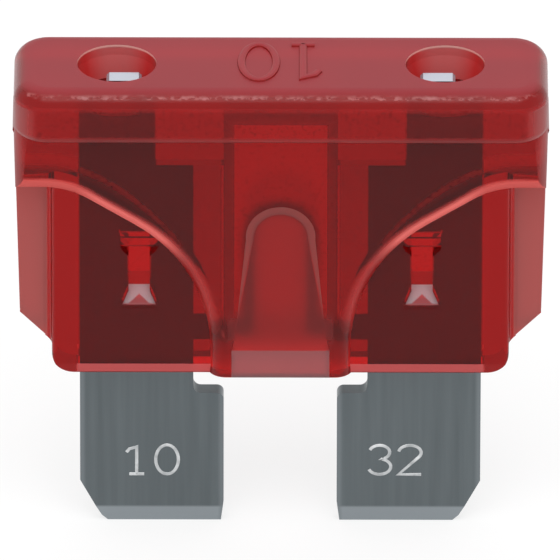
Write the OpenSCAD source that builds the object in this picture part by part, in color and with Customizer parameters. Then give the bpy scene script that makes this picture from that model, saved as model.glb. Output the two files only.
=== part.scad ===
/* [Housing] */
// Width of the housing across its sides, without the parting ridge
body_w = 19.2; // [18.4:0.1:24]
// Height of the housing from its seating face to its top face
body_h = 12; // [11.5:0.1:14]
// Depth of the head, front to back
head_d = 5.1; // [4.6:0.1:7]
// Height of the head band
head_h = 2.02; // [1.5:0.02:2.2]
// Depth of the web and its centre column at the seating face
web_d = 3.1; // [2.8:0.05:3.4]
// Draft of the web's front and back faces, in degrees
web_draft = 2; // [1:0.1:2.5]
// Depth of the thin skirt round the blades
skirt_d = 2.5; // [2:0.05:2.7]
// Width of the skirt between the ears
skirt_w = 16.5; // [15.6:0.1:17.5]
// Radius along the head's upper edges, all round
edge_r = 0.7; // [0.3:0.05:0.9]
// Radius along the head's lower edges
lip_r = 0.35; // [0.1:0.05:0.4]
// Radius of the head's four upright corners, seen from above
plan_r = 1.25; // [1:0.05:1.4]
// Draft of the web's and the ears' outer sides, in degrees
side_draft = 1.4; // [0.5:0.1:3]
// Radius of the skirt's lower corners
skirt_r = 0.8; // [0.4:0.1:1]
// Radius of the skirt's four upright corners, seen from above
skirt_edge_r = 0.2; // [0.1:0.05:0.4]
// Radius of the web's four upright corners, seen from above
web_edge_r = 0.65; // [0.2:0.05:0.8]
// How far the ridge at the parting line stands out
parting_ridge = 0.04; // [0.02:0.01:0.1]
// Height of that ridge
ridge_h = 0.3; // [0.2:0.05:0.5]
// How far the skirt's lower front and back edges slope in
skirt_lead = 0.1; // [0.05:0.05:0.3]
// Height of that slope
skirt_lead_h = 0.4; // [0.1:0.05:0.6]

/* [Arches] */
// Width of the centre column
column_w = 5.2; // [4.8:0.1:5.6]
// Radius of each arch beside the column
arch_r = 5.9; // [5:0.1:6.5]
// Height at which each arch leaves the column
arch_spring = 1.17; // [0.8:0.01:2]
// Slope of the straight part of each arch, in degrees
arch_slope = 32.5; // [28:0.5:40]
// Height of the level end of each arch, above the ear
arch_level = 7.66; // [7.3:0.02:8.2]
// Radius between the slope and the level end
arch_bend_r = 3; // [2:0.1:4]
// Radius of the round along each arch's edge and down the column
arch_edge_r = 0.65; // [0.3:0.05:0.7]

/* [Ears] */
// Half depth of an ear where it leaves the skirt
ear_root = 0.85; // [0.6:0.05:1]
// Half depth of an ear at its outer edge
ear_tip = 0.5; // [0.3:0.05:0.7]
// Radius of the hollow between an ear and the skirt
ear_hollow_r = 0.25; // [0.1:0.05:0.35]
// Height of an ear's outer lower corner
ear_corner = 2.15; // [1.6:0.05:3]
// Radius of an ear's outer lower corner
ear_r = 0.4; // [0.1:0.05:0.6]
// Height at which an ear's lower slope meets the skirt
ear_foot = 1.15; // [0.7:0.05:1.5]

/* [Column relief] */
// Distance between the floors of the front and back tongues, which stand upright
tongue_d = 3.24; // [3.12:0.02:3.36]
// Radius of the round top of a tongue's floor
tongue_r = 0.95; // [0.7:0.05:1.2]
// Height of the centre of that round top
tongue_top = 5.75; // [5:0.05:6.5]
// Half width of the tongue's floor at its foot
tongue_foot = 1.76; // [1.4:0.02:1.9]
// How far the tongue's sloping edge spreads for each unit of depth
tongue_spread = 2.3; // [1:0.1:3]
// Height of the sloping foot below the tongue
foot_h = 1.12; // [0.6:0.02:1.6]

/* [Probe openings] */
// Diameter of each probe opening
probe_d = 2.85; // [2.2:0.05:3.2]
// Distance between the centres of the two probe openings
probe_pitch = 11.8; // [11:0.1:12.4]
// Depth of each probe opening below the top face
probe_depth = 1.22; // [1:0.02:1.3]
// Depth of the straight land at each probe opening's mouth, above the probe tip
probe_land = 0.4; // [0.2:0.02:0.42]
// Diameter of each probe opening at its floor
probe_floor_d = 2.5; // [2:0.05:2.8]

/* [Element] */
// Width over the outer edges of the two blades
blades_w = 14.5; // [14:0.1:15]
// Width of each blade
blade_w = 5.2; // [4.8:0.1:5.4]
// Thickness of the zinc strip
strip_t = 0.65; // [0.5:0.01:0.8]
// Length of each blade below the seating face
blade_out = 6.6; // [5.5:0.1:9]
// Width of each blade's neck inside the housing
neck_w = 4.1; // [3.6:0.05:4.4]
// Distance from the seating face down to the blade's shoulder
shoulder_drop = 1.3; // [0.8:0.05:1.6]
// Radius in the notch above the shoulder
notch_r = 0.28; // [0.1:0.02:0.4]
// Radius of the shoulder's inner corner
shoulder_r = 0.25; // [0.1:0.05:0.4]
// Width cut off at each blade's outer lower corner
tip_cut_w = 0.78; // [0.4:0.02:1.4]
// Height cut off at each blade's outer lower corner
tip_cut_h = 1.7; // [0.8:0.05:2]
// Size of the small bevel between that cut and the tip
tip_bevel = 0.22; // [0.1:0.02:0.5]
// Width of the slight taper at each blade's inner lower corner
tip_taper_w = 0.1; // [0.05:0.05:0.3]
// Height of that taper
tip_taper_h = 0.85; // [0.4:0.05:1.2]
// Height of the thinned band at each blade's tip
coin_h = 0.62; // [0.3:0.02:1]
// Thickness left at the very tip
coin_t = 0.4; // [0.3:0.02:0.6]
// Width of the probe tab above the neck
tab_w = 2.72; // [2.2:0.02:3]
// Distance from the top face down to the probe tab's shoulders
tab_drop = 1.35; // [1.2:0.05:1.6]
// Bevel at the probe tab's corners
tab_bevel = 0.25; // [0.1:0.05:0.5]
// Width of the probe tip that shows in the opening
tip_w = 1.26; // [0.8:0.02:1.6]
// Size of the bevel at the probe tip's corners
tip_corner = 0.1; // [0.05:0.01:0.2]
// Distance of the probe tip from the middle of its tab, toward the link
tip_offset = 0.25; // [0:0.05:0.4]
// Distance from the top face down to the probe tip
tip_drop = 0.54; // [0.2:0.02:0.8]
// Distance from the top face down to the neck's inner shoulder
neck_drop = 3.7; // [3:0.01:4]

/* [Link] */
// Width of the link's strip
link_w = 0.45; // [0.3:0.05:0.8]
// Thickness of the link's strip, coined thinner than the blades
link_t = 0.3; // [0.15:0.05:0.5]
// Radius of the link's round top, along its middle line
link_r = 1.15; // [0.8:0.05:1.3]
// Height of the centre of the link's round top
link_top = 5.2; // [4:0.1:7]
// Height of the lower edge of the link's feet
link_foot = 1.1; // [0.8:0.05:1.6]
// Height of the link's feet, from edge to edge
link_foot_h = 0.7; // [0.4:0.05:1]

/* [Staking] */
// Distance between the centres of the two stake windows
stake_pitch = 10.2; // [9.6:0.1:10.6]
// Height of the middle of each stake window
stake_z = 4.1; // [3.6:0.05:4.4]
// Height of each stake window
stake_h = 3; // [2:0.1:3.2]
// Width of each stake window at its ends
stake_w = 1.45; // [1:0.05:1.8]
// Width of each stake window at its waist
stake_waist = 0.86; // [0.5:0.02:1]
// Height of the wide ends of each stake window
stake_end = 0.5; // [0.3:0.05:0.7]
// Depth of the punch mark in each face of the skirt
punch_depth = 0.4; // [0.1:0.05:0.5]
// Height of the slope at the punch mark's lower end
punch_ramp = 0.85; // [0.4:0.05:1.2]

/* [Fits] */
// Clearance round the element in its slots
slot_gap = 0.05; // [0.03:0.01:0.1]
// Half depth of the link's chamber
chamber_half_d = 1; // [0.8:0.05:1.1]
// Half width of the chamber's flat face, inside the column
chamber_half_w = 1.67; // [1.5:0.01:1.8]
// Distance from the top face down to the chamber's roof
chamber_drop = 1.65; // [1.3:0.05:3]

/* [Hidden] */
$fn = 96;
// How far joined shapes reach into each other
eps = 0.01;
// How far cutting shapes run past the faces they cut
over = 1;
// Reach of shapes that only bound others
far = body_w + body_h;
head_z = body_h - head_h;
half_w = body_w / 2;
blade_out_x = blades_w / 2;
blade_in_x = blade_out_x - blade_w;
neck_in_x = blade_out_x - neck_w;
tab_in_x = blade_out_x - tab_w;
slot_half_d = strip_t / 2 + slot_gap;
slot_out_x = blade_out_x + slot_gap;
slot_roof = body_h - neck_drop + 2 * slot_gap;
tab_roof = body_h - probe_depth;
web_top = head_z + lip_r;
web_top_half = web_d / 2 + web_top * tan(web_draft);
arch_normal = [-sin(arch_slope), cos(arch_slope)];
arc_centre = [column_w / 2 + arch_r, arch_spring];
arc_end = arc_centre + arch_r * arch_normal;
bend_z = arch_level - arch_bend_r;
bend_gap = arch_bend_r + (bend_z - arc_end[1]) * cos(arch_slope);
bend_centre = [arc_end[0] + bend_gap / sin(arch_slope), bend_z];
bend_end = bend_centre + arch_bend_r * arch_normal;

// Draws its children on the right and again mirrored on the left
module both_sides() {
    children();
    mirror([1, 0, 0]) children();
}

// Draws its children at the front and again mirrored at the back
module front_and_back() {
    children();
    mirror([0, 1, 0]) children();
}

// Stands a front-view outline up and gives it a depth, centred front to back
module upright(depth) {
    rotate([90, 0, 0]) linear_extrude(depth, center = true) children();
}

// Stands a side-view outline up and gives it a width, centred left to right
module crosswise(width) {
    rotate([90, 0, 90]) linear_extrude(width, center = true) children();
}

// Outline of the web and the ears seen from the front, with their drafted sides
module silhouette() {
    low_x = half_w - head_z * tan(side_draft);
    both_sides() polygon([[0, 0], [low_x, 0], [half_w, head_z], [half_w, web_top], [0, web_top]]);
}

// Rectangle with four round corners, seen from above
module rounded_plan(width, depth, radius) {
    square([width, depth - 2 * radius], center = true);
    square([width - 2 * radius, depth], center = true);
    for (x = [-1, 1], y = [-1, 1])
        translate([x * (width / 2 - radius), y * (depth / 2 - radius)]) circle(radius);
}

// Section across the head, with its upper and lower corners rounded
module head_section(half) {
    translate([-half, head_z + lip_r]) square([2 * half, head_h - edge_r - lip_r]);
    translate([edge_r - half, head_z + lip_r]) square([2 * (half - edge_r), head_h - lip_r]);
    translate([lip_r - half, head_z]) square([2 * (half - lip_r), head_h - edge_r]);
    both_sides() translate([half - edge_r, body_h - edge_r]) circle(edge_r);
    both_sides() translate([half - lip_r, head_z + lip_r]) circle(lip_r);
}

// Head band: the same rounds run along its edges and turn round its four corners
module head() {
    crosswise(body_w - 2 * plan_r) head_section(head_d / 2);
    upright(head_d - 2 * plan_r) head_section(half_w);
    both_sides() front_and_back() translate([half_w - plan_r, head_d / 2 - plan_r, 0])
        rotate_extrude() intersection() {
            head_section(plan_r);
            translate([0, head_z]) square([plan_r, head_h]);
        }
}

// Fine ridge along the parting line, on both sides
module ridge() {
    upright(head_d - 2 * plan_r) both_sides() polygon([
        [half_w - eps, head_z - ridge_h / 2], [half_w + parting_ridge, head_z],
        [half_w - eps, head_z + ridge_h / 2]
    ]);
}

// Outline of the recess below the right arch: a true arc beside the column, a slope, a bend and a level end
module arch_recess() {
    translate(arc_centre) circle(arch_r);
    translate(bend_centre) circle(arch_bend_r);
    polygon([arc_end, bend_end, bend_centre, arc_centre]);
    translate([bend_centre[0], -over]) square([far, arch_level + over]);
    translate([column_w / 2, -over]) square([far, arch_spring + over]);
}

// Section of what the round along an edge takes off: out from the recess, and in from the face
module edge_section() {
    difference() {
        translate([-over, -over]) square(arch_edge_r + over);
        translate([arch_edge_r, arch_edge_r]) circle(arch_edge_r);
    }
}

// Round along a circular edge
module edge_arc(centre, radius) {
    translate([centre[0], 0, centre[1]]) rotate([-90, 0, 0])
        rotate_extrude() translate([radius, 0]) edge_section();
}

// Round along a straight edge, from a start point and at an angle from upright
module edge_line(start, angle, length) {
    translate([start[0], 0, start[1]]) rotate([0, angle, 0]) linear_extrude(length) edge_section();
}

// Cut below the right arch, square to the drafted front face and with a round along its edge
module arch_cut() {
    translate([0, -web_d / 2, 0]) rotate([web_draft, 0, 0]) {
        translate([0, web_top_half, 0]) rotate([90, 0, 0])
            linear_extrude(web_top_half + over) arch_recess();
        edge_arc(arc_centre, arch_r);
        edge_arc(bend_centre, arch_bend_r);
        edge_line(bend_end, -90 - arch_slope, norm(bend_end - arc_end));
        edge_line([far, arch_level], -90, far - bend_centre[0]);
        edge_line([column_w / 2, arch_spring], 180, arch_spring + over);
    }
}

// Web from the head down to the arches, with the centre column between them
module web() {
    difference() {
        union() {
            intersection() {
                upright(head_d) silhouette();
                crosswise(body_w) polygon([
                    [-web_d / 2, 0], [web_d / 2, 0], [web_top_half, web_top], [-web_top_half, web_top]
                ]);
                linear_extrude(body_h) rounded_plan(body_w, 2 * web_top_half, web_edge_r);
            }
            tongue_pad();
        }
        both_sides() front_and_back() arch_cut();
        front_and_back() tongue_cut();
    }
}

// Floor of the tongue: a round top on legs that spread toward the foot
module tongue_floor() {
    translate([0, tongue_top]) circle(tongue_r);
    polygon([
        [-tongue_r, tongue_top], [tongue_r, tongue_top], [tongue_foot, foot_h], [tongue_foot, 0],
        [-tongue_foot, 0], [-tongue_foot, foot_h]
    ]);
}

// Plate behind the two tongues: it stands proud of the drafted column near the foot, and slopes in below
module tongue_pad() {
    intersection() {
        upright(tongue_d) tongue_floor();
        crosswise(column_w) polygon([
            [-web_d / 2, 0], [web_d / 2, 0], [tongue_d / 2, foot_h], [tongue_d / 2, head_z],
            [-tongue_d / 2, head_z], [-tongue_d / 2, foot_h]
        ]);
    }
}

// Cut down to the tongue's floor in the column's front face, with a sloping edge
module tongue_cut() {
    depth = web_top_half - tongue_d / 2;
    translate([0, -tongue_d / 2, tongue_top]) rotate([90, 0, 0])
        linear_extrude(depth, scale = 1 + tongue_spread * depth / tongue_r)
            translate([0, -tongue_top]) tongue_floor();
}

// Thin skirt round the blades, with round lower corners and a bevelled lower edge
module skirt() {
    half = skirt_w / 2;
    half_d = skirt_d / 2;
    intersection() {
        upright(skirt_d) {
            translate([-half, skirt_r]) square([skirt_w, head_z - skirt_r]);
            translate([skirt_r - half, 0]) square([skirt_w - 2 * skirt_r, head_z]);
            both_sides() translate([half - skirt_r, skirt_r]) circle(skirt_r);
        }
        linear_extrude(head_z) rounded_plan(skirt_w, skirt_d, skirt_edge_r);
        crosswise(skirt_w) polygon([
            [skirt_lead - half_d, 0], [half_d - skirt_lead, 0], [half_d, skirt_lead_h],
            [half_d, head_z], [-half_d, head_z], [-half_d, skirt_lead_h]
        ]);
    }
}

// Back half of the right ear's plan: thinner toward its outer edge, with a hollow against the skirt
module ear_plan() {
    root_x = skirt_w / 2 - eps;
    hollow = ear_root + ear_hollow_r;
    polygon([[root_x, 0], [half_w, 0], [half_w, ear_tip], [root_x, ear_root]]);
    difference() {
        translate([root_x, 0]) square([ear_hollow_r + eps, hollow]);
        translate([skirt_w / 2 + ear_hollow_r, hollow]) circle(ear_hollow_r);
    }
}

// Ear beside the skirt, with a slope below
module ear() {
    root_x = skirt_w / 2 - eps;
    intersection() {
        linear_extrude(head_z) front_and_back() ear_plan();
        upright(head_d) intersection() {
            silhouette();
            ear_outline(root_x);
        }
    }
}

// Right ear seen from the front, with its outer lower corner rounded on the draft and the slope
module ear_outline(root_x) {
    rise = ear_corner - ear_foot;
    corner_x = half_w - (head_z - ear_corner) * tan(side_draft);
    slope = atan2(rise, corner_x - root_x);
    turn = 90 - side_draft - slope;
    cut = ear_r * tan(turn / 2);
    centre = [
        corner_x + cut * sin(side_draft) - ear_r * cos(side_draft),
        ear_corner + cut * cos(side_draft) + ear_r * sin(side_draft)
    ];
    difference() {
        polygon([[0, 0], [root_x, ear_foot], [corner_x, ear_corner], [half_w, head_z], [0, head_z]]);
        difference() {
            polygon([
                centre, [corner_x - cut * cos(slope), ear_corner - cut * sin(slope)],
                [corner_x, ear_corner], [half_w, ear_corner],
                [corner_x + cut * sin(side_draft), ear_corner + cut * cos(side_draft)]
            ]);
            translate(centre) circle(ear_r);
        }
    }
}

// Stake window seen from the front: wide ends and a narrow waist
module stake_window(grow = 0) {
    w = stake_w / 2 + grow;
    waist = stake_waist / 2 + grow;
    end = stake_h / 2 + grow;
    shoulder = stake_h / 2 - stake_end;
    neck = shoulder - (stake_w - stake_waist) / 2;
    polygon([
        [-w, -end], [w, -end], [waist, -neck], [waist, neck], [w, shoulder], [w, end],
        [-w, end], [-w, shoulder], [-waist, neck], [-waist, -neck]
    ]);
}

// Slots for the blades and their tabs, and the link's chamber between them
module cavities() {
    both_sides() {
        translate([blade_in_x - eps, -slot_half_d, -over])
            cube([slot_out_x - blade_in_x + eps, 2 * slot_half_d, slot_roof + over]);
        translate([tab_in_x - slot_gap, -slot_half_d, -over])
            cube([slot_out_x - tab_in_x + slot_gap, 2 * slot_half_d, tab_roof + over]);
        translate([probe_pitch / 2, 0, tab_roof])
            cylinder(d1 = probe_floor_d, d2 = probe_d, h = probe_depth - probe_land);
        translate([probe_pitch / 2, 0, body_h - probe_land])
            cylinder(d = probe_d, h = probe_land + over);
    }
    translate([0, 0, -over]) linear_extrude(body_h - chamber_drop + over) both_sides()
        front_and_back() polygon([
            [0, 0], [blade_in_x, 0], [blade_in_x, slot_half_d],
            [chamber_half_w, chamber_half_d], [0, chamber_half_d]
        ]);
}

// Plastic staked through the blade's window, inside the slot
module stake() {
    translate([stake_pitch / 2, 0, stake_z]) upright(2 * slot_half_d + eps) stake_window(-slot_gap);
}

// Mark that the staking punch leaves in the skirt's front face: stepped above, sloping below
module punch_mark() {
    end = stake_h / 2;
    step = end - stake_end;
    translate([stake_pitch / 2, -skirt_d / 2, stake_z]) intersection() {
        upright(2 * punch_depth) stake_window(-slot_gap);
        crosswise(stake_w) polygon([
            [-over, -end], [0, -end], [punch_depth, punch_ramp - end],
            [punch_depth, step], [punch_depth / 2, step], [punch_depth / 2, end], [-over, end]
        ]);
    }
}

// One transparent moulding, its two walls joined by the stakes
module housing() {
    color("firebrick") difference() {
        union() {
            difference() {
                union() {
                    head();
                    ridge();
                    web();
                    skirt();
                    both_sides() ear();
                }
                cavities();
            }
            both_sides() stake();
        }
        both_sides() front_and_back() punch_mark();
    }
}

// Right blade with its neck, probe tab and tip, seen from the front
module blade_outline() {
    neck_top = body_h - neck_drop;
    tab_top = body_h - tab_drop;
    tip_top = body_h - tip_drop;
    tip_x = (blade_out_x + tab_in_x) / 2 - tip_offset;
    tip_in_x = tip_x - tip_w / 2;
    tip_out_x = tip_x + tip_w / 2;
    difference() {
        union() {
            polygon([
                [blade_in_x + tip_taper_w, -blade_out],
                [blade_out_x - tip_cut_w - tip_bevel, -blade_out],
                [blade_out_x - tip_cut_w, tip_bevel - blade_out],
                [blade_out_x, tip_cut_h - blade_out], [blade_out_x, tab_top - tab_bevel],
                [blade_out_x - tab_bevel, tab_top], [tip_out_x, tab_top],
                [tip_out_x, tip_top - tip_corner], [tip_out_x - tip_corner, tip_top],
                [tip_in_x + tip_corner, tip_top], [tip_in_x, tip_top - tip_corner],
                [tip_in_x, tab_top], [tab_in_x + tab_bevel, tab_top],
                [tab_in_x, tab_top - tab_bevel], [tab_in_x, neck_top], [neck_in_x, neck_top],
                [neck_in_x, notch_r - shoulder_drop], [neck_in_x - notch_r, -shoulder_drop],
                [blade_in_x + shoulder_r, -shoulder_drop], [blade_in_x, -shoulder_drop - shoulder_r],
                [blade_in_x, tip_taper_h - blade_out]
            ]);
            translate([blade_in_x + shoulder_r, -shoulder_drop - shoulder_r]) circle(shoulder_r);
        }
        translate([neck_in_x - notch_r, notch_r - shoulder_drop]) circle(notch_r);
        translate([stake_pitch / 2, stake_z]) stake_window();
    }
}

// Blade with its tip coined thinner on both faces
module blade() {
    intersection() {
        upright(strip_t) blade_outline();
        crosswise(2 * far) polygon([
            [-coin_t / 2, -blade_out], [coin_t / 2, -blade_out],
            [strip_t / 2, coin_h - blade_out], [strip_t / 2, body_h],
            [-strip_t / 2, body_h], [-strip_t / 2, coin_h - blade_out]
        ]);
    }
}

// Link: two feet, two legs and a round top
module link() {
    outer = link_r + link_w / 2;
    inner = link_r - link_w / 2;
    upright(link_t) difference() {
        union() {
            translate([0, link_top]) circle(outer);
            translate([-outer, link_foot]) square([2 * outer, link_top - link_foot]);
        }
        translate([0, link_top]) circle(inner);
        translate([-inner, link_foot - over]) square([2 * inner, link_top - link_foot + over]);
    }
    both_sides() upright(link_t)
        translate([inner + eps, link_foot]) square([neck_in_x - inner, link_foot_h]);
    both_sides() upright(strip_t)
        translate([blade_in_x, link_foot]) square([neck_in_x - blade_in_x + eps, link_foot_h]);
}

// One zinc stamping
module fuse_element() {
    color("slategray") {
        both_sides() blade();
        link();
    }
}

housing();
fuse_element();
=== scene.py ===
"""Looks of a blade fuse: transparent red housing and zinc element, on a plain white stage."""

import math

import bmesh
import bpy
from mathutils import Matrix, Vector


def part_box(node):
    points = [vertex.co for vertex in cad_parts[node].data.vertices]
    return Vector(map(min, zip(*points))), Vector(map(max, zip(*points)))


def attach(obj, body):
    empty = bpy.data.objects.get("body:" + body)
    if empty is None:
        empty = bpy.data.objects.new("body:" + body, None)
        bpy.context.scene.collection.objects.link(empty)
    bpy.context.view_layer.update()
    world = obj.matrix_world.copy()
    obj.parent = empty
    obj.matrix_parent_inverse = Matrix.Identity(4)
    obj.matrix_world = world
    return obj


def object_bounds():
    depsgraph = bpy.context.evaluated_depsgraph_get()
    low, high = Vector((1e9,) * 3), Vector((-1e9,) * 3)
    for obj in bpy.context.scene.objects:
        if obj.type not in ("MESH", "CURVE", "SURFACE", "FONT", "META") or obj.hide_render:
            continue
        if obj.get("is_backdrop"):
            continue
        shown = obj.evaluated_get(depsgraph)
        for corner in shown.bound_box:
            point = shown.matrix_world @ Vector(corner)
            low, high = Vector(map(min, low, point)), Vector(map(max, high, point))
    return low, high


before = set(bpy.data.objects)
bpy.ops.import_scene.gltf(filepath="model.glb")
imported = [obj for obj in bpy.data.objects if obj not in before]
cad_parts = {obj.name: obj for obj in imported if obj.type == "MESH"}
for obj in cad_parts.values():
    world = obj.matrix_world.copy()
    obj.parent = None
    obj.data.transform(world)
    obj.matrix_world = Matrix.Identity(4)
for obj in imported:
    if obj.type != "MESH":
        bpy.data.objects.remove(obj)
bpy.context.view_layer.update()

MM = 0.001

# Camera: a long lens in front, looking down at the fuse
VIEW_ELEVATION = math.radians(28.3)
LENS = 1500
SENSOR = 36
VIEW_WIDTH = 20.22 * MM
VIEW_CENTRE = Vector((-0.02, 0, 3.168)) * MM
VIEW_ROLL = math.radians(0.115)
CLIP_START = 0.01
CLIP_END = 10

# Plain studio light, with the lamp's angle in degrees and its lengths in metres
WORLD_LEVEL = 0.9
FLOOR_SIZE = 1.2
FLOOR_GREY = 0.9
FLOOR_ROUGHNESS = 0.9
FLOOR_GLOW = 0.7
LAMP_ELEVATION = 66
LAMP_DISTANCE = 0.4
LAMP_SIZE = 0.3
LAMP_POWER = 0.8
BOUNCES = 24
GLOSSY_BOUNCES = 8

# Places on the moulding, in mm: each pair is where a mask is 0 and where it is 1.
# SIDE is measured from the middle along the row of blades, DEPTH from the middle to front or back, HEIGHT upward.
ARCH_HEIGHTS = ((0.9, 1.4), (9.98, 9.88))
ARCH_FOOT_HEIGHT = (5.7, 4.4)
ARCH_LEVEL_SIDE = (6.6, 7.4)
ARCH_INSIDE_SIDE = (7.2, 7.3)
ARCH_INSIDE_DEPTH = (1.18, 1.22)
LOWER_FACE_HEIGHT = (0.02, 0.01)
LEAD_HEIGHTS = ((0.02, 0.04), (0.43, 0.4))
EAR_SIDE = (8.35, 8.45)
EAR_HEIGHT = (7.7, 7.6)
COLUMN_SIDE = (1.96, 1.86)
COLUMN_DEPTH = (1.49, 1.54)
COLUMN_HEIGHT = (7.4, 7.3)
TONGUE_DEPTHS = ((1.65, 1.63), (1.59, 1.61))
FOOT_SIDE = (1.78, 1.76)
FOOT_HEIGHT = (1.17, 1.12)
CHAMBER_SIDE = (2.15, 2.1)
CHAMBER_DEPTH = (1.1, 1.05)
CHAMBER_HEIGHT = (10.5, 10.4)
LIP_HEIGHTS = ((9.96, 9.98), (10.35, 10.33))
POST_SIDES = ((2.5, 2.6), (3.4, 3.3))
POST_DEPTH = (1.2, 1.25)
POST_HEIGHT = (2.6, 2.2)
CORNER_SIDE = (8.75, 8.9)
CORNER_HEIGHTS = ((7.6, 7.8), (11.4, 11.3))
SKIRT_END_SIDES = ((7.3, 7.4), (8.3, 8.2))
SKIRT_END_HEIGHT = (7.6, 7.5)
FILLET_HEIGHT = (11.3, 11.32)
HEAD_HEIGHT = (9.98, 10.28)
TOP_HEIGHT = (11.8, 11.9)

# Ramp below each stake, about the stake's own middle, and the wedge of clear plastic in it
STAKE_AT = 5.1
RAMP_ACROSS = (0.75, 0.7)
RAMP_DEPTHS = ((1.24, 1.22), (0.82, 0.84))
RAMP_HEIGHTS = ((2.75, 2.85), (3.5, 3.46))
WEDGE_SLOPE = 1.2
WEDGE_REACH = (3.8, 3.72)

# Probe openings, about their own axes
PROBE_AT = 5.9
MOUTH_RADIUS = (1.465, 1.445)
MOUTH_HEIGHT = (10.7, 10.75)
# Height of the painted highlight ring at the top of each opening
RIM_HIGHLIGHT_HEIGHT = (11.9, 11.95)

# Painted reflection of the arches, a fine line on the slots' walls above them: where it starts, how it rises
# outward, and how wide it is
LINE_SIDE = 3.45
LINE_HEIGHT = 4.96
LINE_RISE = 1.33
LINE_SAG = 0.125
LINE_WIDTH = (0.18, 0.05)
PAINTED_REFLECTION_FADE = ((0.1, 0), (-0.5, -0.1))
PAINTED_REFLECTION_FADE_SHARE = 0.3
WALL_DEPTH = (0.44, 0.42)
WALL_SIDES = ((3.4, 3.9), (7.3, 7.2))

# Turns of the surface, as pairs of a normal's part: where a mask is 0 and where it is 1
ARCH_TURN = (0.06, 0.35)
FRONT_TURN = (0.5, 0.8)
RING_TURN = (0.97, 0.95)
LEAD_TURN = (0.1, 0.2)
LIP_TURN = (0.02, 0.2)
POST_TURN = (0.2, 0.5)
RAMP_TURN = (0.1, 0.3)
CORNER_TURN = (0.2, 0.7)
WALL_TURN = (0.9, 0.95)
FILLET_TURN = (0.05, 0.3)
TOP_TURN = (0.7, 0.95)
MOUTH_TURN = (0.9, 0.7)
MOUTH_BACK_TURN = (0.6, 0.95)
CHAMBER_WALL_TURN = (0.9, 0.7)
# Turns and facing of the painted highlight specks on the head's edge:
GLINT_TURNS = ((0.62, 0.7), (0.86, 0.76))
GLINT_FRONT_TURN = (0.4, 0.5)

# Noise of the moulding, with its scale in cells a metre, and what part of it shows
GRAIN_SCALE = 7000
SPECKLE_SCALE = 5000
CLOUD_SCALE = 500
# Part of the speckle noise that the painted highlight specks take
GLINT_SPECKLE = (0.45, 0.8)
# Part of the speckle noise that the painted reflection line takes
LINE_SPECKLE = (0.3, 0.5)
DARK_GRAIN = (0.52, 0.75)
CLOUD_SHARE = 0.3
GRAIN_ROUGHNESS = 0.12

# Finish of each area of the moulding, with painted light on some, where a later one covers an earlier one:
# tint, share of light that passes through, roughness
FINISHES = (
    # Matt arch edges, with painted light in their tints: pale salmon along the slopes, darker at the level ends
    # and towards the foot
    ("arch_slope", (0.82, 0.15, 0.13), 0.12, 0.5),
    ("arch_level", (0.62, 0.08, 0.07), 0.15, 0.5),
    ("arch_foot", (0.6, 0.025, 0.025), 0.8, 0.3),
    ("facet_inside", (1, 0.12, 0.08), 0.94, 1),
    ("arch_inside", (1, 0.3, 0.2), 0.97, 0.7),
    # Painted reflection of the arches on the slots' walls, and a weaker band of it fading below
    ("line_shade", (1, 0.2, 0.15), 0.2, 0.6),
    ("line", (1, 0.6, 0.3), 0.1, 0.6),
    ("lower_face", (0.9, 0.12, 0.12), 0.85, 0.7),
    ("lead", (0.6, 0.09, 0.09), 0.3, 0.5),
    ("lip", (0.4, 0.02, 0.02), 0.6, 0.3),
    ("fillet", (0.34, 0.012, 0.012), 0.5, 0.25),
    ("top", (0.38, 0.04, 0.05), 0.35, 0.5),
    ("mouth", (0.6, 0.06, 0.06), 0.5, 0.3),
    # Painted light: the openings' walls facing front and back are paler than their sides
    ("mouth_lit_walls", (0.55, 0.16, 0.16), 0.3, 0.4),
    # Painted highlight: a pale ring round the top of each opening
    ("painted_rim_highlight", (0.9, 0.5, 0.45), 0.2, 0.3),
    ("post", (0.6, 0.03, 0.03), 0.5, 0.35),
    ("skirt_end", (0.62, 0.03, 0.03), 0.94, 0.05),
    ("ramp", (0.5, 0.35, 0.37), 0.35, 0.6),
    ("ramp_middle", (0.6, 0.12, 0.13), 0.6, 0.4),
    ("corner", (0.5, 0.1, 0.1), 0.6, 0.35),
    # Painted highlight: pale specks along the head's rounded top edges
    ("painted_glints", (0.66, 0.27, 0.27), 0.35, 0.35),
    ("ear", (0.6, 0.17, 0.16), 0.6, 0.5),
    ("ring", (0.5, 0.14, 0.13), 0.7, 0.5),
    ("tongue", (0.6, 0.09, 0.09), 0.85, 0.35),
    ("foot", (0.33, 0.2, 0.21), 0.65, 0.55),
    ("chamber", (0.9, 0.05, 0.05), 0.94, 0.45),
    ("chamber_wall", (1, 0.06, 0.06), 0.94, 1),
)
WEB_RED = (0.72, 0.03, 0.03)
HEAD_RED = (0.97, 0.04, 0.04)
CLOUD_RED = (0.55, 0.02, 0.02)
GRAIN_RED = (0.5, 0.02, 0.02)
WEB_CLEAR = 0.94
HEAD_CLEAR = 0.92
PLASTIC_IOR = 1.55
PLASTIC_GLOSS = (0.32, 0.3, 0.3, 1)
PLASTIC_DEPTH_RED = (0.9, 0.1, 0.1, 1)
PLASTIC_DENSITY = 2800

# Zinc, with its places in mm
BLADE_AT = 4.65
EDGE_FROM_MIDDLE = (2.38, 2.5)
BELOW_HOUSING = (0, -0.2)
IN_HOUSING = (0, 0.2)
COIN_HEIGHT = (-5.93, -6.03)
TAB_TOP_HEIGHT = (10.9, 11)
TAB_TOP_TURN = (0.5, 0.8)
ZINC_GRAIN = ((0.085, 0.1, 0.107), (0.165, 0.19, 0.201))
ZINC_CLOUD = (0.12, 0.14, 0.148)
ZINC_COINED = (0.27, 0.3, 0.32)
# Painted highlight along the blades' long edges
ZINC_EDGE_HIGHLIGHT = (0.2, 0.225, 0.24)
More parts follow.
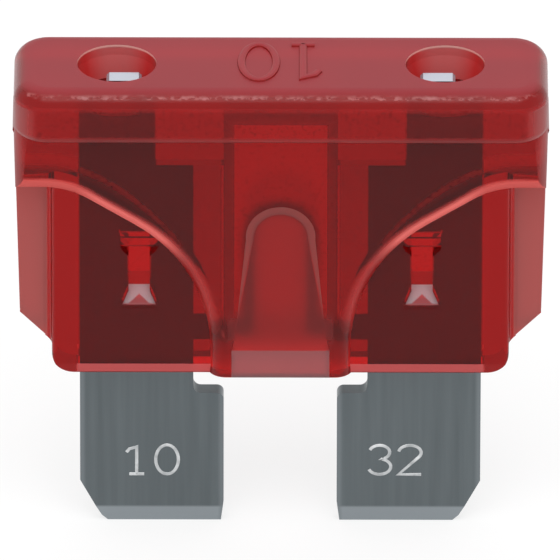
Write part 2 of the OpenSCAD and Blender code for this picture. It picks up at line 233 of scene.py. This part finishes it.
# Painted light on the tabs' top faces
ZINC_LIT_TAB_TOP = (0.5, 0.53, 0.6)
ZINC_METALLIC = (0.85, 0.2)
ZINC_ROUGHNESS = (0.28, 0.4)
ZINC_SMOOTH = 0.12
# Painted highlights of the stamped figures, from a dark grey to nearly white
STAMPED_HIGHLIGHT_GREYS = ((0.16, 0.18, 0.19), (0.95, 0.97, 0.98))

# Raised figures, in mm: size, spacing, half the width of a stroke, and height
HEAD_FIGURES = ((1.25, 2.7), 1.59, 0.15, 0.09)
HEAD_FIGURES_DEPTH = 0.07
BLADE_FIGURES = ((0.82, 1.2), 1.1, 0.06, 0.015)
RIGHT_FIGURES_AT = 4.15
LEFT_FIGURES_AT = -4.65
BLADE_FIGURES_HEIGHT = -4.05
BLADE_FACE = 0.325
LIFT = 0.002
STROKE_PROFILE = ((-1, 0), (-0.85, 0.6), (-0.4, 0.95), (0.4, 0.95), (0.85, 0.6), (1, 0))


def add(tree, kind, **inputs):
    """A new node of a tree, with its input sockets set by name."""
    node = tree.nodes.new(kind)
    for name, value in inputs.items():
        node.inputs[name.replace("_", " ")].default_value = value
    return node


def put(tree, socket, value):
    """Gives an input socket a value, or links another socket to it."""
    if isinstance(value, bpy.types.NodeSocket):
        tree.links.new(value, socket)
    else:
        socket.default_value = value


def math_node(tree, operation, first, second=0.0):
    """A Math node whose inputs are numbers or sockets."""
    node = tree.nodes.new("ShaderNodeMath")
    node.operation = operation
    put(tree, node.inputs[0], first)
    put(tree, node.inputs[1], second)
    return node.outputs[0]


def magnitude(tree, value):
    return math_node(tree, "ABSOLUTE", value)


def new_material(name):
    """A material with only a Principled shader and its output."""
    material = bpy.data.materials.new(name)
    material.use_nodes = True
    tree = material.node_tree
    tree.nodes.clear()
    shader = tree.nodes.new("ShaderNodeBsdfPrincipled")
    output = tree.nodes.new("ShaderNodeOutputMaterial")
    tree.links.new(shader.outputs[0], output.inputs["Surface"])
    return material, tree, shader, output


def mask(tree, source, low, high):
    """0 at one value of the source, 1 at another, with a straight ramp between them."""
    ramp = tree.nodes.new("ShaderNodeMapRange")
    ramp.inputs["From Min"].default_value = low
    ramp.inputs["From Max"].default_value = high
    tree.links.new(source, ramp.inputs["Value"])
    return ramp.outputs[0]


def all_of(tree, *masks):
    """Product of masks."""
    result = masks[0]
    for other in masks[1:]:
        result = math_node(tree, "MULTIPLY", result, other)
    return result


def any_of(tree, *masks):
    """Highest of masks."""
    result = masks[0]
    for other in masks[1:]:
        result = math_node(tree, "MAXIMUM", result, other)
    return result


def within(tree, source, *pairs):
    """Product of masks over a length, whose pairs are in mm."""
    return all_of(tree, *[mask(tree, source, start * MM, whole * MM) for start, whole in pairs])


def split(tree, vector):
    parts = tree.nodes.new("ShaderNodeSeparateXYZ")
    tree.links.new(vector, parts.inputs[0])
    return parts.outputs


def mix_colour(tree, factor, first, second):
    """A colour between two others, each given as a colour or a socket."""
    mix = tree.nodes.new("ShaderNodeMix")
    mix.data_type = "RGBA"
    tree.links.new(factor, mix.inputs["Factor"])
    for socket, value in ((mix.inputs[6], first), (mix.inputs[7], second)):
        put(tree, socket, value if isinstance(value, bpy.types.NodeSocket) else (*value, 1))
    return mix.outputs[2]


def mix_number(tree, factor, first, second):
    """A number between two others."""
    mix = tree.nodes.new("ShaderNodeMix")
    tree.links.new(factor, mix.inputs["Factor"])
    put(tree, mix.inputs[2], first)
    put(tree, mix.inputs[3], second)
    return mix.outputs[0]


def noise(tree, coordinates, scale, detail=2.0, stretch=(1, 1, 1)):
    """Noise over object coordinates, with its scale in cells a metre."""
    mapping = tree.nodes.new("ShaderNodeMapping")
    mapping.inputs["Scale"].default_value = stretch
    tree.links.new(coordinates, mapping.inputs[0])
    texture = add(tree, "ShaderNodeTexNoise", Scale=scale, Detail=detail)
    tree.links.new(mapping.outputs[0], texture.inputs["Vector"])
    return texture.outputs["Fac"]


def bump(tree, height, strength, distance, shader):
    node = add(tree, "ShaderNodeBump", Strength=strength, Distance=distance)
    tree.links.new(height, node.inputs["Height"])
    tree.links.new(node.outputs[0], shader.inputs["Normal"])


def distance_between(tree, first, second):
    """Length of the diagonal over two sides at right angles."""
    squares = [math_node(tree, "MULTIPLY", side, side) for side in (first, second)]
    return math_node(tree, "SQRT", math_node(tree, "ADD", *squares))


def plastic_areas(tree, place, grain, speckle):
    """Masks of the moulding's areas, by the names in FINISHES."""
    x, y, z = split(tree, place.outputs["Object"])
    normal_x, normal_y, normal_z = split(tree, place.outputs["Normal"])
    side = magnitude(tree, x)
    depth = magnitude(tree, y)
    endward = magnitude(tree, normal_x)
    facing = magnitude(tree, normal_y)
    downward = math_node(tree, "MULTIPLY", normal_z, -1)
    inside = tree.nodes.new("ShaderNodeNewGeometry").outputs["Backfacing"]
    outside = math_node(tree, "SUBTRACT", 1, inside)
    area = {}

    # Edges that the arches round into. Seen from inside, a normal turns round, and such an edge points up.
    arches = all_of(tree, mask(tree, downward, *ARCH_TURN), within(tree, z, *ARCH_HEIGHTS))
    # Their tints also hold painted light: pale salmon along the slopes, darker at the level ends and towards the
    # foot
    area["arch_slope"] = all_of(tree, arches, outside)
    area["arch_level"] = all_of(tree, arches, outside, within(tree, side, ARCH_LEVEL_SIDE))
    area["arch_foot"] = all_of(tree, arches, outside, within(tree, z, ARCH_FOOT_HEIGHT))
    area["facet_inside"] = all_of(tree, arches, inside)
    area["arch_inside"] = all_of(tree, inside, mask(tree, normal_z, *ARCH_TURN),
                                 within(tree, side, ARCH_INSIDE_SIDE), within(tree, z, ARCH_HEIGHTS[1]),
                                 within(tree, depth, ARCH_INSIDE_DEPTH))

    # A painted reflection of the arches: a fine matt line on the slots' walls, above the arches, whose height
    # follows a square curve
    outward = math_node(tree, "MULTIPLY", math_node(tree, "SUBTRACT", side, LINE_SIDE * MM), 1 / MM)
    rise = math_node(tree, "SUBTRACT", LINE_RISE, math_node(tree, "MULTIPLY", outward, LINE_SAG))
    height = math_node(tree, "ADD", math_node(tree, "MULTIPLY", outward, rise), LINE_HEIGHT)
    off_line = math_node(tree, "SUBTRACT", math_node(tree, "MULTIPLY", z, 1 / MM), height)
    wall = all_of(tree, within(tree, depth, WALL_DEPTH), within(tree, side, *WALL_SIDES),
                  mask(tree, facing, *WALL_TURN))
    area["line"] = all_of(tree, wall, mask(tree, magnitude(tree, off_line), *LINE_WIDTH),
                          mask(tree, speckle, *LINE_SPECKLE))
    # Below the painted reflection, a weaker band of it that fades out downward
    reflection_fade = all_of(tree, wall, *[mask(tree, off_line, *pair) for pair in PAINTED_REFLECTION_FADE])
    area["line_shade"] = math_node(tree, "MULTIPLY", reflection_fade, PAINTED_REFLECTION_FADE_SHARE)

    # Lower face, its lead, the ears, the ends of the skirt and the posts beside the link
    area["lower_face"] = within(tree, z, LOWER_FACE_HEIGHT)
    area["lead"] = all_of(tree, within(tree, z, *LEAD_HEIGHTS), mask(tree, downward, *LEAD_TURN),
                          mask(tree, facing, *FRONT_TURN))
    area["ear"] = all_of(tree, within(tree, side, EAR_SIDE), within(tree, z, EAR_HEIGHT),
                         mask(tree, facing, *FRONT_TURN))
    area["skirt_end"] = all_of(tree, within(tree, side, *SKIRT_END_SIDES), within(tree, z, SKIRT_END_HEIGHT))
    area["post"] = all_of(tree, within(tree, z, POST_HEIGHT), within(tree, side, *POST_SIDES),
                          mask(tree, endward, *POST_TURN), within(tree, depth, POST_DEPTH))
    area["corner"] = all_of(tree, within(tree, side, CORNER_SIDE), within(tree, z, *CORNER_HEIGHTS),
                            mask(tree, endward, *CORNER_TURN))

    # The tongue on the column, the ring round it and its foot, and the chamber behind them
    column = all_of(tree, within(tree, side, COLUMN_SIDE), within(tree, depth, COLUMN_DEPTH),
                    within(tree, z, COLUMN_HEIGHT))
    area["ring"] = all_of(tree, column, mask(tree, facing, *RING_TURN))
    area["tongue"] = all_of(tree, column, within(tree, depth, *TONGUE_DEPTHS))
    area["foot"] = all_of(tree, column, within(tree, z, FOOT_HEIGHT), within(tree, side, FOOT_SIDE))
    area["chamber"] = all_of(tree, within(tree, depth, CHAMBER_DEPTH), within(tree, side, CHAMBER_SIDE),
                             within(tree, z, CHAMBER_HEIGHT))
    area["chamber_wall"] = all_of(tree, area["chamber"], mask(tree, facing, *CHAMBER_WALL_TURN))

    # Ramps at the foot of the stakes
    from_stake = magnitude(tree, math_node(tree, "SUBTRACT", side, STAKE_AT * MM))
    wedge = math_node(tree, "ADD", from_stake, math_node(tree, "MULTIPLY", z, WEDGE_SLOPE))
    area["ramp"] = all_of(tree, within(tree, from_stake, RAMP_ACROSS), within(tree, z, *RAMP_HEIGHTS),
                          within(tree, depth, *RAMP_DEPTHS), mask(tree, normal_z, *RAMP_TURN))
    area["ramp_middle"] = all_of(tree, area["ramp"], within(tree, wedge, WEDGE_REACH))

    # Head: its lip, the edge that rolls over to the top face with painted highlight specks on it, the top face,
    # and the mouths of the openings with painted light on their walls and rims
    area["head"] = within(tree, z, HEAD_HEIGHT)
    area["lip"] = all_of(tree, within(tree, z, *LIP_HEIGHTS), mask(tree, downward, *LIP_TURN))
    area["fillet"] = all_of(tree, within(tree, z, FILLET_HEIGHT), mask(tree, normal_z, *FILLET_TURN))
    # Painted highlight: pale specks on the rounded top edge, at the turn where the lamp's highlight falls
    area["painted_glints"] = all_of(tree, *[mask(tree, normal_z, *pair) for pair in GLINT_TURNS], area["fillet"],
                          mask(tree, facing, *GLINT_FRONT_TURN), mask(tree, speckle, *GLINT_SPECKLE))
    area["top"] = all_of(tree, within(tree, z, TOP_HEIGHT), mask(tree, normal_z, *TOP_TURN))
    from_probe = distance_between(tree, math_node(tree, "SUBTRACT", side, PROBE_AT * MM), y)
    area["mouth"] = all_of(tree, within(tree, z, MOUTH_HEIGHT), within(tree, from_probe, MOUTH_RADIUS),
                           mask(tree, normal_z, *MOUTH_TURN))
    # Painted light: the openings' walls that face front and back are paler than their sides
    area["mouth_lit_walls"] = all_of(tree, area["mouth"], mask(tree, facing, *MOUTH_BACK_TURN))
    # Painted highlight: a pale ring at the top of each opening's wall
    area["painted_rim_highlight"] = all_of(tree, area["mouth"], within(tree, z, RIM_HIGHLIGHT_HEIGHT))
    return area


def red_plastic():
    """Transparent red moulding: glossy faces, finely matt ledges, ears and tongue."""
    material, tree, shader, output = new_material("red_plastic")
    place = tree.nodes.new("ShaderNodeTexCoord")
    grain = noise(tree, place.outputs["Object"], GRAIN_SCALE, 3)
    speckle = noise(tree, place.outputs["Object"], SPECKLE_SCALE, 4, (0.7, 1, 1))
    cloud = noise(tree, place.outputs["Object"], CLOUD_SCALE, 2)
    area = plastic_areas(tree, place, grain, speckle)

    colour = mix_colour(tree, area["head"], WEB_RED, HEAD_RED)
    colour = mix_colour(tree, math_node(tree, "MULTIPLY", cloud, CLOUD_SHARE), colour, CLOUD_RED)
    colour = mix_colour(tree, mask(tree, grain, *DARK_GRAIN), colour, GRAIN_RED)
    clear = mix_number(tree, area["head"], WEB_CLEAR, HEAD_CLEAR)
    rough = math_node(tree, "MULTIPLY", grain, GRAIN_ROUGHNESS)
    for name, tint, passes, roughness in FINISHES:
        colour = mix_colour(tree, area[name], colour, tint)
        clear = mix_number(tree, area[name], clear, passes)
        rough = mix_number(tree, area[name], rough, roughness)
    tree.links.new(colour, shader.inputs["Base Color"])
    tree.links.new(clear, shader.inputs["Transmission Weight"])
    tree.links.new(rough, shader.inputs["Roughness"])
    shader.inputs["IOR"].default_value = PLASTIC_IOR
    shader.inputs["Specular Tint"].default_value = PLASTIC_GLOSS
    bump(tree, grain, 0.15, 0.01 * MM, shader)
    absorption = add(tree, "ShaderNodeVolumeAbsorption", Color=PLASTIC_DEPTH_RED, Density=PLASTIC_DENSITY)
    tree.links.new(absorption.outputs[0], output.inputs["Volume"])
    return material


def zinc():
    """Dull rolled zinc with a faint grain along the blades."""
    material, tree, shader, output = new_material("zinc")
    place = tree.nodes.new("ShaderNodeTexCoord")
    x, y, z = split(tree, place.outputs["Object"])
    normal_z = split(tree, place.outputs["Normal"])[2]
    grain = noise(tree, place.outputs["Object"], 3000, 4, (1, 1, 0.04))
    cloud = noise(tree, place.outputs["Object"], 400, 3)
    from_middle = magnitude(tree, math_node(tree, "SUBTRACT", magnitude(tree, x), BLADE_AT * MM))
    # Painted highlight: a lighter band along the blades' long edges, below the housing
    edge_highlight = all_of(tree, within(tree, from_middle, EDGE_FROM_MIDDLE), within(tree, z, BELOW_HOUSING))
    # Painted light: the tabs' top faces are pale bluish grey and hardly metallic
    lit_tab_top = all_of(tree, within(tree, z, TAB_TOP_HEIGHT), mask(tree, normal_z, *TAB_TOP_TURN))

    tone = mix_colour(tree, grain, *ZINC_GRAIN)
    tone = mix_colour(tree, math_node(tree, "MULTIPLY", cloud, 0.5), tone, ZINC_CLOUD)
    tone = mix_colour(tree, within(tree, z, COIN_HEIGHT), tone, ZINC_COINED)
    tone = mix_colour(tree, math_node(tree, "MULTIPLY", edge_highlight, 0.7), tone, ZINC_EDGE_HIGHLIGHT)
    tree.links.new(mix_colour(tree, lit_tab_top, tone, ZINC_LIT_TAB_TOP), shader.inputs["Base Color"])
    tree.links.new(mix_number(tree, lit_tab_top, *ZINC_METALLIC), shader.inputs["Metallic"])
    roughness = mix_number(tree, grain, *ZINC_ROUGHNESS)
    tree.links.new(mix_number(tree, within(tree, z, IN_HOUSING), roughness, ZINC_SMOOTH),
                   shader.inputs["Roughness"])
    bump(tree, grain, 0.25, 0.004 * MM, shader)
    return material


def bright_zinc():
    """Metal of the stamped figures, with painted highlights: greys in patches from dark to nearly white."""
    material, tree, shader, output = new_material("bright_zinc")
    place = tree.nodes.new("ShaderNodeTexCoord")
    cloud = noise(tree, place.outputs["Object"], 2500, 2)
    tree.links.new(mix_colour(tree, cloud, *STAMPED_HIGHLIGHT_GREYS), shader.inputs["Base Color"])
    shader.inputs["Metallic"].default_value = 0.6
    shader.inputs["Roughness"].default_value = 0.45
    return material


def arc(centre, radii, start, end, steps):
    """Points of an elliptic arc, with its angles in degrees."""
    points = []
    for step in range(steps + 1):
        angle = math.radians(start + (end - start) * step / steps)
        points.append((centre[0] + radii[0] * math.cos(angle), centre[1] + radii[1] * math.sin(angle)))
    return points


def figure(digit, width, height):
    """Centre lines of a figure's strokes, each with whether it is closed, about the figure's own middle."""
    w, h = width / 2, height / 2
    strokes = {
        "0": [(arc((0, 0), (w, h), 0, 348.75, 31), True)],
        "1": [([(-w * 0.9, h * 0.5), (-w * 0.65, h * 0.72), (0, h * 0.86), (0, -h)], False),
              ([(-w * 0.66, -h), (w * 0.66, -h)], False)],
        "2": [(arc((0, h * 0.5), (w, h * 0.5), 170, -40, 14) + [(-w, -h), (w, -h)], False)],
        "3": [(arc((0, h * 0.52), (w * 0.9, h * 0.48), 160, -80, 14)
               + arc((0, -h * 0.47), (w, h * 0.53), 80, -160, 16), False)],
    }
    return strokes[digit]


def stroke_rings(path, closed, half_width, height):
    """Cross-sections of a low rounded ridge along a path, in its own plane."""
    rings = []
    count = len(path)
    for index, point in enumerate(path):
        before = path[index - 1] if closed or index else point
        after = path[(index + 1) % count] if closed or index + 1 < count else point
        inward = Vector(point) - Vector(before)
        outward = Vector(after) - Vector(point)
        inward = inward.normalized() if inward.length else outward.normalized()
        outward = outward.normalized() if outward.length else inward
        along = (inward + outward).normalized()
        across = Vector((-along.y, along.x)) * half_width / max(0.5, along.dot(outward))
        rings.append([(point[0] + across.x * side, point[1] + across.y * side, height * rise)
                      for side, rise in STROKE_PROFILE])
    return rings


def ridge_mesh(builder, path, closed, half_width, height, placing):
    """Adds a closed ridge to a bmesh."""
    rings = [[builder.verts.new(placing @ Vector(corner)) for corner in ring]
             for ring in stroke_rings(path, closed, half_width, height)]
    corners = len(rings[0])
    for index in range(len(rings) if closed else len(rings) - 1):
        here, there = rings[index], rings[(index + 1) % len(rings)]
        for corner in range(corners):
            following = (corner + 1) % corners
            builder.faces.new((here[corner], here[following], there[following], there[corner]))
    if not closed:
        builder.faces.new(rings[0][::-1])
        builder.faces.new(rings[-1])


def figures(name, text, measures, placing, material):
    """A row of raised figures as one piece, centred on its placing."""
    (width, tall), spacing, half_width, height = measures
    builder = bmesh.new()
    for index, digit in enumerate(text):
        shift = (index - (len(text) - 1) / 2) * spacing * MM
        for path, closed in figure(digit, width * MM, tall * MM):
            moved = [(x + shift, y) for x, y in path]
            ridge_mesh(builder, moved, closed, half_width * MM, height * MM, placing)
    bmesh.ops.recalc_face_normals(builder, faces=builder.faces)
    mesh = bpy.data.meshes.new(name)
    builder.to_mesh(mesh)
    builder.free()
    piece = bpy.data.objects.new(name, mesh)
    bpy.context.scene.collection.objects.link(piece)
    mesh.materials.append(material)
    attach(piece, "root")


def dress(node, material):
    """Gives a CAD node its material."""
    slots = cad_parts[node].data.materials
    slots.clear()
    slots.append(material)


def stage():
    """Plain white floor under the blades' tips: white to the camera, and still with the fuse's shadow."""
    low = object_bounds()[0][2]
    bpy.ops.mesh.primitive_plane_add(size=FLOOR_SIZE, location=(0, 0, low))
    floor = bpy.context.object
    floor.name = "floor"
    material, tree, shader, output = new_material("floor_white")
    shader.inputs["Base Color"].default_value = (FLOOR_GREY, FLOOR_GREY, FLOOR_GREY, 1)
    shader.inputs["Roughness"].default_value = FLOOR_ROUGHNESS
    shader.inputs["Specular IOR Level"].default_value = 0.0
    ray = tree.nodes.new("ShaderNodeLightPath").outputs
    seen = any_of(tree, ray["Is Camera Ray"], ray["Is Glossy Ray"], ray["Is Transmission Ray"])
    glow = add(tree, "ShaderNodeEmission", Strength=1.0)
    mix = tree.nodes.new("ShaderNodeMixShader")
    tree.links.new(math_node(tree, "MULTIPLY", seen, FLOOR_GLOW), mix.inputs[0])
    tree.links.new(shader.outputs[0], mix.inputs[1])
    tree.links.new(glow.outputs[0], mix.inputs[2])
    tree.links.new(mix.outputs[0], output.inputs["Surface"])
    floor.data.materials.append(material)
    floor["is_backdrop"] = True


def world_light():
    world = bpy.data.worlds.new("studio")
    bpy.context.scene.world = world
    world.use_nodes = True
    background = world.node_tree.nodes["Background"]
    background.inputs["Color"].default_value = (1, 1, 1, 1)
    background.inputs["Strength"].default_value = WORLD_LEVEL


def direction(elevation):
    """A direction from the fuse toward the camera's side, at an angle above level."""
    return Vector((0, -math.cos(elevation), math.sin(elevation)))


def soft_lamp():
    """An area lamp above the camera that looks at the fuse."""
    lamp = bpy.data.lights.new("front_lamp", "AREA")
    lamp.size = LAMP_SIZE
    lamp.energy = LAMP_POWER
    lamp_object = bpy.data.objects.new("front_lamp", lamp)
    bpy.context.scene.collection.objects.link(lamp_object)
    away = direction(math.radians(LAMP_ELEVATION))
    lamp_object.location = VIEW_CENTRE + away * LAMP_DISTANCE
    lamp_object.rotation_euler = (-away).to_track_quat("-Z", "Y").to_euler()


def camera():
    lens = bpy.data.cameras.new("camera")
    lens.lens = LENS
    lens.sensor_width = SENSOR
    lens.clip_start = CLIP_START
    lens.clip_end = CLIP_END
    view = bpy.data.objects.new("camera", lens)
    bpy.context.scene.collection.objects.link(view)
    away = direction(VIEW_ELEVATION)
    view.location = VIEW_CENTRE + away * (LENS * VIEW_WIDTH / SENSOR)
    upright = (-away).to_track_quat("-Z", "Y").to_matrix()
    view.rotation_euler = (upright @ Matrix.Rotation(VIEW_ROLL, 3, "Z")).to_euler()
    bpy.context.scene.camera = view


def raised_figures(plastic):
    """The rating on the head, turned to be read from behind, and the figures on the blades' front faces."""
    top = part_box("housing")[1][2]
    on_top = (Matrix.Translation((0, HEAD_FIGURES_DEPTH * MM, top + LIFT * MM))
              @ Matrix.Rotation(math.pi, 4, "Z"))
    figures("rating_figures", "10", HEAD_FIGURES, on_top, plastic)
    stamped = bright_zinc()
    for name, text, x in (("right_blade_figures", "32", RIGHT_FIGURES_AT),
                          ("left_blade_figures", "10", LEFT_FIGURES_AT)):
        on_blade = (Matrix.Translation(Vector((x, -BLADE_FACE - LIFT, BLADE_FIGURES_HEIGHT)) * MM)
                    @ Matrix.Rotation(math.pi / 2, 4, "X"))
        figures(name, text, BLADE_FIGURES, on_blade, stamped)


red = red_plastic()
dress("housing", red)
dress("fuse_element", zinc())
raised_figures(red)
stage()
world_light()
soft_lamp()
camera()

scene = bpy.context.scene
scene.view_settings.view_transform = "Standard"
scene.cycles.max_bounces = BOUNCES
scene.cycles.transmission_bounces = BOUNCES
scene.cycles.glossy_bounces = GLOSSY_BOUNCES
